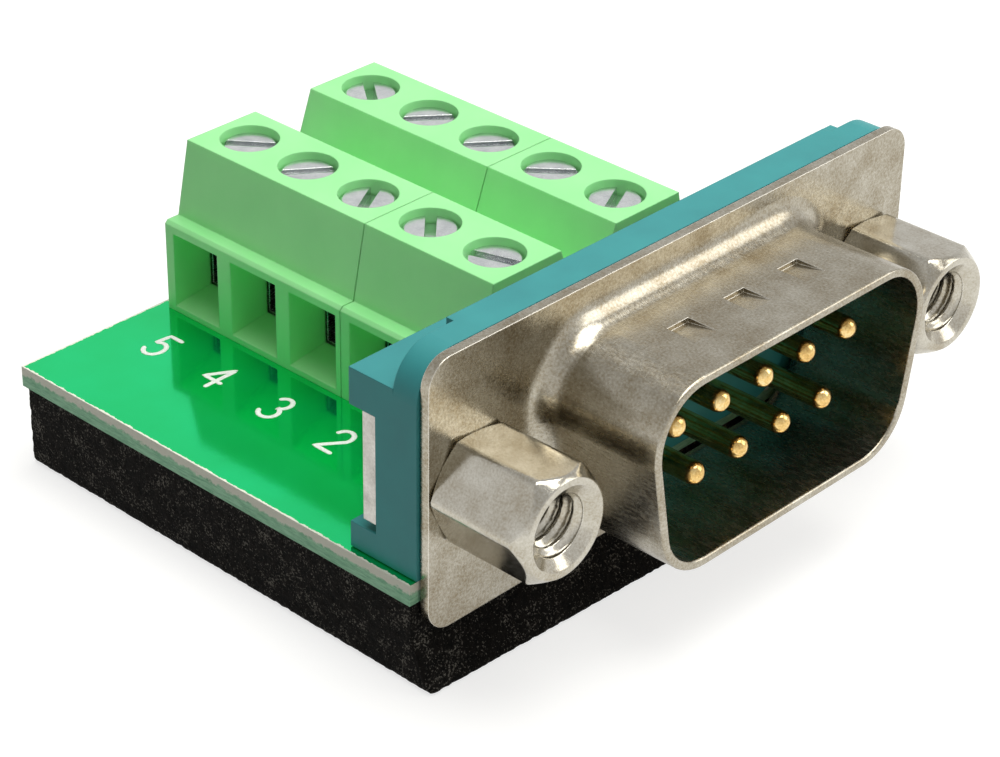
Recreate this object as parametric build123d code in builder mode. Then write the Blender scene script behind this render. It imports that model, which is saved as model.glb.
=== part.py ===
from build123d import *
import os
from math import cos, pi, radians, tan

os.makedirs("parts", exist_ok=True)

# Steel shell of the nine-way plug: a flange with a D-shaped skirt drawn out of it
jack_spacing = 24.99
flange_end = 2.55
flange_height = 12.6
flange_thickness = 0.45
flange_corner = 1.25
skirt_width = 17.35
skirt_height = 9.2
skirt_reach = 6.15
skirt_wall = 0.4
skirt_corner = 2.8
skirt_slant = 10.0
skirt_root = 1.1
rim_round = 0.12
dimple_count = 3
dimple_pitch = 3.5
dimple_width = 1.3
dimple_length = 1.5
dimple_depth = 0.22
dimple_setback = 2.62

# Contact pins
pin_pitch = 2.77
pin_row_gap = 2.84
pin_diameter = 1.02
pin_reach = 4.85
pin_tail_diameter = 0.7
pin_bend = 0.8
pin_step_depth = 0.9
lower_tail_setback = 3.3
upper_tail_setback = 4.25

# Jack posts
post_across_flats = 4.6
post_length = 4.95
post_bore = 2.6
post_bore_depth = 4.4
post_sink = 0.18
post_front_cut = 0.4
post_front_cone = 60.0
post_foot_cut = 0.19
post_foot_cone = 30.0
post_turn = -4.7
stud_diameter = 2.84
stud_reach = 3.9
jack_hole = 3.06

# Moulded connector housing
insulator_face = 0.2
housing_lip = 0.15
housing_end_rear = 1.81
housing_middle_rear = 2.2
housing_middle_width = 23.7
housing_corner = 2.0
end_block_width = 5.9
end_block_height = 8.45
end_block_rear = 2.8
arm_rear = 4.25
upper_arm_height = 1.7
lower_arm_height = 1.25
lower_arm_width = 3.7

# Ground brackets
bracket_width = 5.3
bracket_thickness = 0.7
bracket_foot = 0.4
bracket_barrel = 3.6
bracket_barrel_reach = 0.5
bracket_leg_width = 1.3
bracket_leg_tip = 0.6

# Circuit board and the foam under it
board_lip = 0.35
row_setback = 4.73
board_thickness = 1.0
axis_above_board = 3.83
foam_thickness = 4.0
foam_side_inset = 0.25
foam_toe_left = 0.24
foam_toe_right = 1.44
tail_drop = 0.5
pocket_depth = 1.0

# Terminal blocks
way_pitch = 3.81
front_ways = 2
rear_ways = 3
block_rear_margin = 0.58
block_height = 8.03
block_top_width = 4.14
row_spacing = 7.62
slope_foot_height = 4.52
slope_foot_out = 0.72
ledge_out = 0.81
ledge_cut = 0.16
inner_gap = 0.9
mouth_width = 2.95
mouth_height = 3.72
mouth_floor = 0.29
mouth_shift = 0.12
throat_width = 2.3
throat_height = 1.9
throat_floor = 0.85
throat_depth = 1.8

# Screws, clamp cages and solder bars of the terminals
screw_head_diameter = 2.52
screw_head_height = 0.8
screw_head_sink = 0.27
screw_shank_diameter = 2.0
screw_slot_width = 0.5
screw_slot_depth = 0.45
screw_edge = 0.12
seat_thickness = 0.5
cage_length = 3.2
cage_width = 2.5
cage_wall = 0.25
cage_floor = 0.55
cage_window = 2.5
cage_top = 0.9
cage_rest = 0.35
cage_travel = 1.6
bar_width = 1.4
bar_thickness = 0.5
bar_above_floor = 1.85
bar_end_inset = 0.25
bar_tail_setback = 2.2
tail_width = 0.8
screw_angles = (108, 43, 29, 143, 128, 26, 131, 141, 140, 52)

# Clearances between pieces that fit together
seat_gap = 0.05
board_setback = 0.1
slide_gap = 0.12
turn_gap = 0.1
thread_gap = 0.04
press_gap = 0.03
hole_gap = 0.1
soft_gap = 0.3

# Shared positions: Z rises from the floor, Y runs from the plug to the terminals
flange_width = jack_spacing + 2 * flange_end
housing_width = flange_width + 2 * housing_lip
board_width = housing_width + 2 * board_lip
bracket_top = end_block_height - upper_arm_height - axis_above_board - seat_gap
bracket_bottom = axis_above_board - lower_arm_height - bracket_foot
board_bottom = foam_thickness
board_top = board_bottom + board_thickness
axis_height = board_top + axis_above_board
ways_in_row = front_ways + rear_ways
board_depth = row_setback + ways_in_row * way_pitch + block_rear_margin
overall_depth = skirt_reach + flange_thickness + board_setback + board_depth
face_y = -overall_depth / 2 + skirt_reach
flange_back = face_y + flange_thickness
board_front = flange_back + board_setback
board_rear = board_front + board_depth
tail_bottom = board_bottom - tail_drop

row_rear = board_rear - block_rear_margin
row_front = row_rear - ways_in_row * way_pitch
block_top = board_top + block_height
row_axis = row_spacing / 2
mouth_x = row_axis + block_top_width / 2 + slope_foot_out + ledge_out

slant = radians(skirt_slant)


def front_plane(y, height=axis_height):
    """plane across the object at y, facing the plug's mating side"""
    return Plane(origin=(0, y, height), x_dir=(1, 0, 0), z_dir=(0, -1, 0))


def side_plane(x, y=0, z=0):
    """plane along the object at x, facing +X"""
    return Plane(origin=(x, y, z), x_dir=(0, 1, 0), z_dir=(1, 0, 0))


def skirt_outline(plane, margin):
    """D outline on a plane, set in by margin from the outside of the skirt"""
    half_height = skirt_height / 2 - margin
    rounding = skirt_corner * (tan(slant) + 1 / cos(slant) - 1)
    half_width = skirt_width / 2 + rounding - skirt_height / 2 * tan(slant) - margin / cos(slant)
    lean = half_height * tan(slant)
    with BuildSketch(plane) as outline:
        with BuildLine():
            Polyline(
                (-half_width - lean, half_height),
                (half_width + lean, half_height),
                (half_width - lean, -half_height),
                (-half_width + lean, -half_height),
                close=True,
            )
        make_face()
        fillet(outline.vertices(), skirt_corner - margin)
    return outline.sketch


def pin_places():
    """x and z of each contact, the wide row first"""
    top = [(pin_pitch * (i - 2), pin_row_gap / 2) for i in range(5)]
    bottom = [(pin_pitch * (i - 1.5), -pin_row_gap / 2) for i in range(4)]
    return top + bottom


def way_places():
    """side and y of each terminal, left row from the front, then right row"""
    row = [row_front + way_pitch * (i + 0.5) for i in range(ways_in_row)]
    return [(side, y) for side in (-1, 1) for y in row]


def tail_setback(height):
    """how far behind the flange's face a contact turns down"""
    return upper_tail_setback if height > 0 else lower_tail_setback


def finish(piece, name):
    """labels a piece and writes its file"""
    piece.part.label = name
    export_step(piece.part, f"parts/{name}.step")


# Shell, with the drawn radius followed on both faces of the sheet
with BuildPart() as shell:
    with BuildSketch(front_plane(flange_back)):
        RectangleRounded(flange_width, flange_height, flange_corner)
        with Locations((-jack_spacing / 2, 0), (jack_spacing / 2, 0)):
            Circle(jack_hole / 2, mode=Mode.SUBTRACT)
    extrude(amount=flange_thickness)
    extrude(skirt_outline(front_plane(face_y), 0), amount=skirt_reach)
    skirt_foot = shell.faces().filter_by(Axis.Y).sort_by(Axis.Y)[-2]
    fillet(skirt_foot.inner_wires().sort_by(SortBy.LENGTH)[-1].edges(), skirt_root)
    bore = skirt_outline(front_plane(flange_back), skirt_wall)
    extrude(bore, amount=flange_thickness + skirt_reach, mode=Mode.SUBTRACT)
    back_face = shell.faces().filter_by(Axis.Y).sort_by(Axis.Y)[-1]
    fillet(back_face.inner_wires().sort_by(SortBy.LENGTH)[-1].edges(), skirt_root + skirt_wall)
    rim = shell.faces().filter_by(Axis.Y).sort_by(Axis.Y)[0]
    fillet(rim.edges(), rim_round)
    dimple_y = face_y - dimple_setback
    skirt_top = axis_height + skirt_height / 2
    for i in range(dimple_count):
        dimple_x = dimple_pitch * (i - (dimple_count - 1) / 2)
        with BuildSketch(side_plane(dimple_x, dimple_y, skirt_top)):
            with BuildLine():
                Polyline((0, 0), (0, -dimple_depth), (-dimple_length, 0), close=True)
            make_face()
        extrude(amount=dimple_width / 2, both=True, mode=Mode.SUBTRACT)
finish(shell, "dsub_shell")


# Housing: plate behind the flange, insulator inside the skirt, and an end block at each side
with BuildPart() as housing:
    with BuildSketch(front_plane(face_y + housing_end_rear, board_top)):
        with BuildLine():
            half_width = housing_width / 2
            plate_top = axis_above_board + flange_height / 2
            Polyline(
                (-half_width, seat_gap),
                (half_width, seat_gap),
                (half_width, plate_top),
                (-half_width, plate_top),
                close=True,
            )
        plate = make_face()
        fillet(plate.vertices().group_by(Axis.Y)[-1], housing_corner)
    extrude(amount=housing_end_rear - flange_thickness - seat_gap)
    with BuildSketch(front_plane(face_y + housing_middle_rear, board_top)):
        with Locations((0, (plate_top + seat_gap) / 2)):
            Rectangle(housing_middle_width, plate_top - seat_gap)
    extrude(amount=housing_middle_rear - flange_thickness - seat_gap)
    plate_front = flange_thickness + seat_gap
    insulator = skirt_outline(front_plane(face_y + plate_front), skirt_wall + hole_gap)
    extrude(insulator, amount=plate_front - insulator_face)
    end_block_middle = half_width - end_block_width / 2
    with BuildSketch(front_plane(face_y + arm_rear, board_top)):
        with Locations((0, (end_block_height + seat_gap) / 2)):
            with GridLocations(2 * end_block_middle, 1, 2, 1):
                Rectangle(end_block_width, end_block_height - seat_gap)
    extrude(amount=arm_rear - housing_end_rear)
    recess_height = end_block_height - upper_arm_height - lower_arm_height
    with BuildSketch(front_plane(face_y + arm_rear, board_top + lower_arm_height)):
        with Locations((0, recess_height / 2)):
            with GridLocations(2 * end_block_middle, 1, 2, 1):
                Rectangle(end_block_width, recess_height)
        leg_side = housing_width - 2 * lower_arm_width
        with Locations((0, -lower_arm_height / 2)):
            Rectangle(leg_side, lower_arm_height)
    extrude(amount=arm_rear - end_block_rear, mode=Mode.SUBTRACT)
    with BuildSketch(front_plane(face_y + arm_rear)):
        with Locations(*pin_places()):
            Circle(pin_diameter / 2 + press_gap)
        with Locations((-jack_spacing / 2, 0), (jack_spacing / 2, 0)):
            Circle(jack_hole / 2)
    extrude(amount=arm_rear, mode=Mode.SUBTRACT)
finish(housing, "dsub_housing")


# Contact pins: round nose, shoulder inside the insulator, tail turned down through the board
for number, (x, z) in enumerate(pin_places(), start=1):
    tail_y = face_y + tail_setback(z)
    with BuildPart() as pin:
        with BuildSketch(side_plane(x, 0, axis_height + z)):
            with BuildLine():
                radius = pin_diameter / 2
                nose = face_y - pin_reach
                step = face_y + pin_step_depth
                Line((nose, 0), (step, 0))
                Line((step, 0), (step, radius))
                Line((step, radius), (nose + radius, radius))
                RadiusArc((nose + radius, radius), (nose, 0), -radius)
            make_face()
        revolve(axis=Axis((x, 0, axis_height + z), (0, 1, 0)))
        with BuildLine():
            FilletPolyline(
                (x, step, axis_height + z),
                (x, tail_y, axis_height + z),
                (x, tail_y, tail_bottom),
                radius=pin_bend,
            )
        with BuildSketch(front_plane(step, axis_height + z)):
            with Locations((x, 0)):
                Circle(pin_tail_diameter / 2)
        sweep()
    finish(pin, f"contact_pin_{number}")


# Jack posts: hexagon with both ends turned down, threaded bore in front, stud behind
for side, name in ((-1, "left"), (1, "right")):
    post_x = side * jack_spacing / 2
    post_axis = Axis((post_x, 0, axis_height), (0, -1, 0))
    corner_radius = post_across_flats / 2 / cos(pi / 6)
    with BuildPart() as post:
        with BuildSketch(front_plane(face_y)):
            with Locations((post_x, 0)):
                RegularPolygon(corner_radius, 6, rotation=post_turn)
        extrude(amount=post_length)
        with BuildSketch(side_plane(post_x, face_y, axis_height)):
            with BuildLine():
                foot_cone = post_foot_cut * tan(radians(post_foot_cone))
                front_cone = post_front_cut * tan(radians(post_front_cone))
                Polyline(
                    (0, 0),
                    (0, corner_radius - post_foot_cut),
                    (-foot_cone, corner_radius),
                    (front_cone - post_length, corner_radius),
                    (-post_length, corner_radius - post_front_cut),
                    (-post_length, 0),
                    close=True,
                )
            make_face()
        revolve(axis=post_axis, mode=Mode.INTERSECT)
        with BuildSketch(front_plane(face_y)):
            with Locations((post_x, 0)):
                Circle(stud_diameter / 2)
        extrude(amount=-stud_reach)
        with BuildSketch(front_plane(face_y - post_length)):
            with Locations((post_x, 0)):
                Circle(post_bore / 2)
        extrude(amount=-post_bore_depth, mode=Mode.SUBTRACT)
        mouth = post.edges().filter_by(GeomType.CIRCLE).filter_by(
            lambda edge: abs(edge.radius - post_bore / 2) < 0.01
        )
        chamfer(mouth.sort_by(Axis.Y)[0], post_sink)
    finish(post, f"jack_post_{name}")


# Ground brackets: plate in the housing's recess, tapped barrel, leg down through the board
bracket_front = face_y + end_block_rear + seat_gap
for side, name in ((-1, "left"), (1, "right")):
    post_x = side * jack_spacing / 2
    inner_edge = side * (jack_spacing / 2 - bracket_width / 2)
    leg_x = inner_edge + side * bracket_leg_width / 2
    with BuildPart() as bracket:
        with BuildSketch(front_plane(bracket_front + bracket_thickness)):
            with Locations((post_x, (bracket_top - bracket_bottom) / 2)):
                Rectangle(bracket_width, bracket_top + bracket_bottom)
            leg_bottom = tail_bottom - axis_height
            leg_height = -bracket_bottom - leg_bottom
            with Locations((leg_x, leg_bottom + leg_height / 2)):
                Rectangle(bracket_leg_width, leg_height)
        extrude(amount=bracket_thickness)
        leg_end = bracket.edges().filter_by(Axis.Y).group_by(Axis.Z)[0]
        chamfer(leg_end, bracket_leg_tip / 2)
        with BuildSketch(front_plane(bracket_front + bracket_thickness)):
            with Locations((post_x, 0)):
                Circle(bracket_barrel / 2)
        extrude(amount=-bracket_barrel_reach)
        with BuildSketch(front_plane(bracket_front + bracket_thickness + bracket_barrel_reach)):
            with Locations((post_x, 0)):
                Circle(stud_diameter / 2 + thread_gap)
        extrude(amount=bracket_thickness + bracket_barrel_reach, mode=Mode.SUBTRACT)
    finish(bracket, f"ground_bracket_{name}")


# Circuit board, drilled for every tail
bar_tail_x = row_axis - bar_tail_setback
with BuildPart() as board:
    with BuildSketch(Plane.XY.offset(board_bottom)):
        with Locations((0, (board_front + board_rear) / 2)):
            Rectangle(board_width, board_depth)
        for x, z in pin_places():
            with Locations((x, face_y + tail_setback(z))):
                Circle(pin_tail_diameter / 2 + hole_gap, mode=Mode.SUBTRACT)
        for side, y in way_places():
            with Locations((side * bar_tail_x, y)):
                Rectangle(
                    bar_thickness + 2 * hole_gap, tail_width + 2 * hole_gap, mode=Mode.SUBTRACT
                )
        for side in (-1, 1):
            leg_x = side * (jack_spacing / 2 - bracket_width / 2 + bracket_leg_width / 2)
            with Locations((leg_x, bracket_front + bracket_thickness / 2)):
                Rectangle(
                    bracket_leg_width + 2 * hole_gap,
                    bracket_thickness + 2 * hole_gap,
                    mode=Mode.SUBTRACT,
                )
    extrude(amount=board_thickness)
finish(board, "circuit_board")


# Foam pad: its top is sunk where the soldered tails press in, its toe runs out under the flange
foam_front = flange_back + soft_gap
toe_height = axis_height - flange_height / 2 - soft_gap
foam_half = board_width / 2 - foam_side_inset
foam_rear = board_rear - foam_side_inset
with BuildPart() as foam:
    with BuildSketch(Plane.XY.offset(toe_height)):
        with Locations((0, (foam_front + foam_rear) / 2)):
            Rectangle(2 * foam_half, foam_rear - foam_front)
    extrude(amount=foam_thickness - toe_height)
    with BuildSketch(Plane.XY):
        with BuildLine():
            Polyline(
                (-foam_half, face_y - foam_toe_left),
                (foam_half, face_y - foam_toe_right),
                (foam_half, foam_rear),
                (-foam_half, foam_rear),
                close=True,
            )
        make_face()
    with BuildSketch(Plane.XY.offset(toe_height)):
        with Locations((0, (foam_front + foam_rear) / 2)):
            Rectangle(2 * foam_half, foam_rear - foam_front)
    loft()
    with BuildSketch(Plane.XY.offset(foam_thickness)):
        pocket_front = foam_front + 2 * soft_gap
        pocket_rear = face_y + upper_tail_setback + pin_diameter
        with Locations((0, (pocket_front + pocket_rear) / 2)):
            Rectangle(jack_spacing, pocket_rear - pocket_front)
        with Locations((0, (row_front + row_rear) / 2)):
            Rectangle(2 * (bar_tail_x + pin_diameter), row_rear - row_front)
    extrude(amount=-pocket_depth, mode=Mode.SUBTRACT)
finish(foam, "foam_pad")


# Terminal housings, solder bars, clamp cages and screws
throat_x = mouth_x - throat_depth
cage_height = cage_floor + cage_window + cage_top
seat_bottom = block_height - screw_head_sink - screw_head_height - seat_thickness
bar_z = board_top + cage_rest + cage_floor + bar_above_floor
well_end = bar_tail_x - bar_thickness / 2 - hole_gap
well_start = row_axis + cage_length / 2 + slide_gap


def block_outline(plane, side):
    """end view of a terminal housing, with its wire side facing away from the middle"""
    inner_top = row_axis - block_top_width / 2
    outer_top = row_axis + block_top_width / 2
    slope_foot = outer_top + slope_foot_out
    points = (
        (inner_gap / 2, 0),
        (mouth_x, 0),
        (mouth_x, slope_foot_height - ledge_cut),
        (mouth_x - ledge_cut, slope_foot_height),
        (slope_foot, slope_foot_height),
        (outer_top, block_height),
        (inner_top, block_height),
        (inner_gap / 2, slope_foot_height),
    )
    with BuildSketch(plane) as outline:
        with BuildLine():
            Polyline(*[(side * x, z) for x, z in points], close=True)
        make_face()
    return outline.sketch


def mouth_section(side, x, y, width, height, floor):
    """rectangle of a wire entry at x, on a plane that faces out of the entry"""
    plane = Plane(origin=(side * x, y, board_top), x_dir=(0, side, 0), z_dir=(side, 0, 0))
    with BuildSketch(plane) as section:
        with Locations((0, floor + height / 2)):
            Rectangle(width, height)
    return section.sketch


def make_block(side, name, first_way, ways):
    """terminal housing with a screw bore, a cage well and a funnel mouth for each way"""
    front = row_front + first_way * way_pitch + seat_gap / 2
    length = ways * way_pitch - seat_gap
    places = [row_front + way_pitch * (first_way + i + 0.5) for i in range(ways)]
    with BuildPart() as block:
        extrude(block_outline(front_plane(front + length, board_top), side), amount=length)
        with BuildSketch(Plane.XY.offset(board_top)):
            for y in places:
                with Locations((side * (well_start + well_end) / 2, y)):
                    Rectangle(well_start - well_end, cage_width + 2 * slide_gap)
        extrude(amount=seat_bottom, mode=Mode.SUBTRACT)
        with BuildSketch(Plane.XY.offset(block_top)):
            for y in places:
                with Locations((side * row_axis, y)):
                    Circle(screw_head_diameter / 2 + turn_gap)
        extrude(amount=-(screw_head_sink + screw_head_height), mode=Mode.SUBTRACT)
        with BuildSketch(Plane.XY.offset(board_top + seat_bottom)):
            for y in places:
                with Locations((side * row_axis, y)):
                    Circle(screw_shank_diameter / 2 + turn_gap)
        extrude(amount=seat_thickness, mode=Mode.SUBTRACT)
        for y in places:
            entry_y = y - mouth_shift
            mouth = mouth_section(side, mouth_x, entry_y, mouth_width, mouth_height, mouth_floor)
            throat = mouth_section(side, throat_x, entry_y, throat_width, throat_height, throat_floor)
            loft([mouth, throat], mode=Mode.SUBTRACT)
            extrude(throat, amount=well_start - throat_x - seat_gap, mode=Mode.SUBTRACT)
    finish(block, name)


for side, name in ((-1, "left"), (1, "right")):
    make_block(side, f"front_terminal_block_{name}", 0, front_ways)
    make_block(side, f"rear_terminal_block_{name}", front_ways, rear_ways)


for number, (side, y) in enumerate(way_places(), start=1):
    axis_x = side * row_axis
    outward = Plane(origin=(axis_x, y, board_top), x_dir=(side, 0, 0), z_dir=(0, -side, 0))

    # Bar through the cage's window, with a tail at its inner end
    with BuildPart() as bar:
        bar_start = cage_length / 2 - bar_end_inset
        bar_bottom = bar_z - board_top
        tail_top = bar_bottom + bar_thickness
        with BuildSketch(outward):
            with BuildLine():
                tail_inner = -bar_tail_setback - bar_thickness / 2
                tail_outer = -bar_tail_setback + bar_thickness / 2
                Polyline(
                    (bar_start, bar_bottom),
                    (bar_start, tail_top),
                    (tail_inner, tail_top),
                    (tail_inner, 0),
                    (tail_outer, 0),
                    (tail_outer, bar_bottom),
                    close=True,
                )
            make_face()
        extrude(amount=bar_width / 2, both=True)
        with BuildSketch(outward):
            with Locations((-bar_tail_setback, (tail_bottom - board_top) / 2)):
                Rectangle(bar_thickness, board_top - tail_bottom)
        extrude(amount=tail_width / 2, both=True)
    finish(bar, f"solder_bar_{number}")

    # Cage: a square tube open along the wire, its roof tapped for the screw
    with BuildPart() as cage:
        with BuildSketch(side_plane(axis_x - cage_length / 2, y, board_top + cage_rest)):
            with Locations((0, cage_height / 2)):
                Rectangle(cage_width, cage_height)
            with Locations((0, cage_floor + cage_window / 2)):
                Rectangle(cage_width - 2 * cage_wall, cage_window, mode=Mode.SUBTRACT)
        extrude(amount=cage_length)
        with BuildSketch(Plane.XY.offset(board_top + cage_rest + cage_height)):
            with Locations((axis_x, y)):
                Circle(screw_shank_diameter / 2 + thread_gap)
        extrude(amount=-cage_top - cage_travel, mode=Mode.SUBTRACT)
    finish(cage, f"clamp_cage_{number}")

    # Screw: slotted head on the seat, shank ending just above the bar
    head_top = block_top - screw_head_sink
    head_bottom = head_top - screw_head_height + press_gap
    shank_bottom = bar_z + bar_thickness + 2 * turn_gap
    with BuildPart() as screw:
        with BuildSketch(Plane.XY.offset(head_bottom)):
            with Locations((axis_x, y)):
                Circle(screw_head_diameter / 2)
        extrude(amount=head_top - head_bottom)
        chamfer(screw.edges().group_by(Axis.Z)[-1], screw_edge)
        with BuildSketch(Plane.XY.offset(shank_bottom)):
            with Locations((axis_x, y)):
                Circle(screw_shank_diameter / 2)
        extrude(amount=head_bottom - shank_bottom)
        chamfer(screw.edges().group_by(Axis.Z)[0], screw_edge)
        with BuildSketch(Plane.XY.offset(head_top)):
            with Locations(Location((axis_x, y), screw_angles[number - 1])):
                Rectangle(2 * screw_head_diameter, screw_slot_width)
        extrude(amount=-screw_slot_depth, mode=Mode.SUBTRACT)
    finish(screw, f"terminal_screw_{number}")
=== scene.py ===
import bpy
import math
import numpy as np
from mathutils import Matrix, Vector


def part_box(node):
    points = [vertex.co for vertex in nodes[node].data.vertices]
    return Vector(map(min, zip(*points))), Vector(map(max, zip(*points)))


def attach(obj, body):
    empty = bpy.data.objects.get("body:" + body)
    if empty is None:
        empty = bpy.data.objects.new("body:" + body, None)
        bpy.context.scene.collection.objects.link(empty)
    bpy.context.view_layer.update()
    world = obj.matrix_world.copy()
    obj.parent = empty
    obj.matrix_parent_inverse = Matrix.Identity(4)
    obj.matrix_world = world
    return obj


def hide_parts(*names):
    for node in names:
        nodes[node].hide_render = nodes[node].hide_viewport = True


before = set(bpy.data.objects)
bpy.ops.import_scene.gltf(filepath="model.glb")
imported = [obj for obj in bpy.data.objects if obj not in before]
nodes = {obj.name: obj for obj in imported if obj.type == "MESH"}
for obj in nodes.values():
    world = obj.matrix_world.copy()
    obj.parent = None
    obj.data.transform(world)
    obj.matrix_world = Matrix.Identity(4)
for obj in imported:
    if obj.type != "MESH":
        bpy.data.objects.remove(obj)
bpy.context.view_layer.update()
mm = 0.001
print("frame loaded")


# Colours are written as sRGB hex and turned to linear here
def linearColour(hexCode):
    share = np.array([int(hexCode[i:i + 2], 16) for i in (1, 3, 5)]) / 255
    linear = np.where(share <= 0.04045, share / 12.92, ((share + 0.055) / 1.055) ** 2.4)
    return (*linear.tolist(), 1.0)


# Adds a node. An input is a constant, or the socket that feeds it; stops are the places and
# colours of a colour ramp
def addNode(tree, kind, settings=None, inputs=None, stops=None):
    node = tree.nodes.new(kind)
    for key, value in (settings or {}).items():
        setattr(node, key, value)
    for key, value in (inputs or {}).items():
        if isinstance(value, bpy.types.NodeSocket):
            tree.links.new(value, node.inputs[key])
        else:
            node.inputs[key].default_value = value
    if stops:
        marks = node.color_ramp.elements
        while len(marks) < len(stops):
            marks.new(0.5)
        for mark, (place, colour) in zip(marks, stops):
            mark.position = place
            mark.color = linearColour(colour)
    return node


# A material with only its output node
def newMaterial(name):
    material = bpy.data.materials.new(name)
    material.use_nodes = True
    material.node_tree.nodes.clear()
    return material, material.node_tree


# Noise scale that gives features of about this many millimetres, on coordinates in metres
def perMm(size):
    return 1 / (size * mm)


# Mesh from a grid of points, rows along v and columns round u. Faces look outwards, or with flip
# the other way; poles closes the first and the last row with one face each
def gridMesh(points, closeU=True, closeV=False, poles=(False, False), flip=False):
    rows, cols = points.shape[:2]
    verts = points.reshape(-1, 3)
    ids = np.arange(rows * cols).reshape(rows, cols)
    if closeU:
        ids = np.hstack([ids, ids[:, :1]])
    if closeV:
        ids = np.vstack([ids, ids[:1]])
    quads = np.stack([ids[:-1, :-1], ids[:-1, 1:], ids[1:, 1:], ids[1:, :-1]], -1).reshape(-1, 4)
    faces = (quads[:, ::-1] if flip else quads).tolist()
    for end, wanted in zip((0, -1), poles):
        if wanted:
            ring = ids[end, :cols]
            order = ring[::-1] if (end == 0) != flip else ring
            faces.append(order.tolist())
    return verts, faces


# Joins several (verts, faces) into one object with one material
def makeObject(name, parts, material, smooth=True):
    offset, allVerts, allFaces = 0, [], []
    for verts, faces in parts:
        allVerts.append(verts)
        allFaces.extend([[i + offset for i in f] for f in faces])
        offset += len(verts)
    mesh = bpy.data.meshes.new(name)
    mesh.from_pydata(np.vstack(allVerts).tolist(), [], allFaces)
    mesh.update()
    mesh.polygons.foreach_set("use_smooth", np.full(len(mesh.polygons), smooth))
    piece = bpy.data.objects.new(name, mesh)
    bpy.context.scene.collection.objects.link(piece)
    mesh.materials.append(material)
    return piece


# Splits each straight run of a path, or of a profile, into steps no longer than gap
def denser(path, gap):
    pieces = [path[:1]]
    for a, b in zip(path[:-1], path[1:]):
        count = max(1, int(np.linalg.norm(b - a) / gap))
        pieces.append(a + (b - a) * (np.arange(1, count + 1) / count)[:, None])
    return np.vstack(pieces)


# Sets one material on CAD nodes
def dress(names, material):
    for name in names:
        mesh = nodes[name].data
        mesh.materials.clear()
        mesh.materials.append(material)


# Camera at the photograph's place, solved from the plug's standard sizes
cameraView = {
    "place": (-84.82, -78.14, 72.97),   # mm
    "target": (-10.80, -9.12, 12.711),  # mm
    "roll": 0.934,                      # degrees
    "sensor": 36.0, "lens": 107.95,     # mm
    "near": 5, "far": 10000,            # mm, what the camera sees
}


def makeCamera(look):
    place = Vector(look["place"])
    back = (place - Vector(look["target"])).normalized()
    right = Vector((0, 0, 1)).cross(back).normalized()
    up = back.cross(right)
    roll = math.radians(look["roll"])
    turnedRight = right * math.cos(roll) + up * math.sin(roll)
    turnedUp = up * math.cos(roll) - right * math.sin(roll)
    data = bpy.data.cameras.new("photoCamera")
    data.sensor_width = look["sensor"]
    data.lens = look["lens"]
    data.clip_start = look["near"] * mm
    data.clip_end = look["far"] * mm
    camera = bpy.data.objects.new("photoCamera", data)
    bpy.context.scene.collection.objects.link(camera)
    turn = Matrix((turnedRight, turnedUp, back)).transposed().to_4x4()
    camera.matrix_world = Matrix.Translation(place * mm) @ turn
    bpy.context.scene.camera = camera


# Soft studio light: a large softbox overhead, a weaker one at the right in front, and an even sky.
# What the camera and mirrors see of the surround is white, and doesn't light the object
studio = {
    "ambient": 0.20,
    "ambientColour": "#FFFCF8",
    "mirrorLow": 1.0,     # strength of the white surround in reflections, at the horizon
    "mirrorHigh": 0.48,   # and overhead, where the room behind the lamps is dimmer
    "mirrorRise": (0.1, 0.95),   # upward part of the direction where it starts and ends falling
    "boxes": [  # place and aim in mm, size in mm, watts, colour
        ((50, -30, 330), (0, 0, 5), 270, 1.22, "#FFFEFA"),
        ((190, -180, 165), (0, 0, 5), 170, 0.22, "#FFFDF9"),
    ],
    "floorSize": 2000, "floorGap": 0.01,   # mm, the second below the foam's underside
    "floorAlbedo": "#A8A8A6",
    "floorGlow": 0.72,    # added only where the camera or a mirror sees the floor
}


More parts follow.
